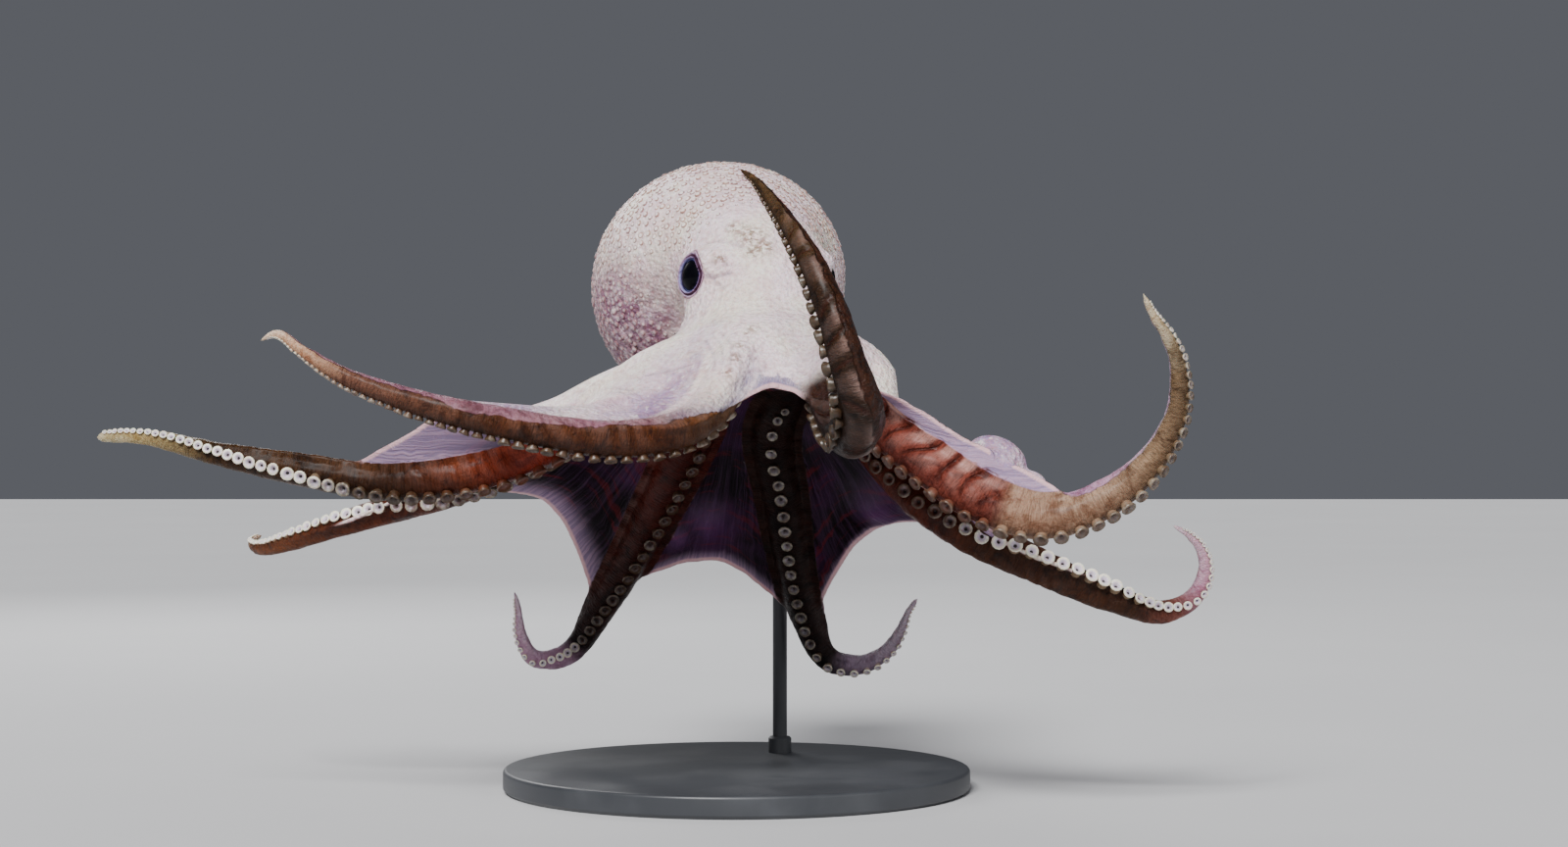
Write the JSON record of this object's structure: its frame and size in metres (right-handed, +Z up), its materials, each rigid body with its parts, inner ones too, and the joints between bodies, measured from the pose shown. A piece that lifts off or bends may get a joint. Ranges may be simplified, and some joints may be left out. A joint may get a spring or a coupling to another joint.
{
  "type": "octopus model",
  "caption": "Still, life-size museum model of a drifting deep-sea warty octopus, arms spread and web open, held up by a plain round display stand.",
  "frame": {"origin": "centre of the display stand's underside, on the surface it stands on", "axes": "+Z up, -Y towards the front, where the dorsal web and both eyes face, +Y towards the mantle's blunt end, +X towards the animal's left"},
  "size_m": [0.5679, 0.3604, 0.3375],
  "materials": {
    "arm_skin": "moist wrinkled skin, orange-brown flanks with dark marbling, pale lilac at the tips",
    "web_skin": "thin moist skin, pale lavender outside, dark purple with reddish rays inside",
    "body_skin": "moist soft skin, pale pinkish white with mauve mottling and small pale warts",
    "eye": "clear, wet, near black with a thin violet ring",
    "stand": "satin charcoal paint"
  },
  "bodies": {
    "root": {"arm_l1_base": "arm_skin", "arm_l1_middle": "arm_skin", "arm_l1_tip": "arm_skin", "arm_l2_base": "arm_skin", "arm_l2_middle": "arm_skin", "arm_l2_tip": "arm_skin", "arm_l3_base": "arm_skin", "arm_l3_middle": "arm_skin", "arm_l3_tip": "arm_skin", "arm_l4_base": "arm_skin", "arm_l4_middle": "arm_skin", "arm_l4_tip": "arm_skin", "arm_r1_base": "arm_skin", "arm_r1_middle": "arm_skin", "arm_r1_tip": "arm_skin", "arm_r2_base": "arm_skin", "arm_r2_middle": "arm_skin", "arm_r2_tip": "arm_skin", "arm_r3_base": "arm_skin", "arm_r3_middle": "arm_skin", "arm_r3_tip": "arm_skin", "arm_r4_base": "arm_skin", "arm_r4_middle": "arm_skin", "arm_r4_tip": "arm_skin", "crown": "body_skin", "eye_left": "eye", "eye_right": "eye", "funnel": "body_skin", "head": "body_skin", "mantle": "body_skin", "stand_base": "stand", "stand_rod": "stand", "web_l1_r1": "web_skin", "web_l2_l1": "web_skin", "web_l3_l2": "web_skin", "web_l4_l3": "web_skin", "web_r1_r2": "web_skin", "web_r2_r3": "web_skin", "web_r3_r4": "web_skin", "web_r4_l4": "web_skin"}
  },
  "joints": []
}
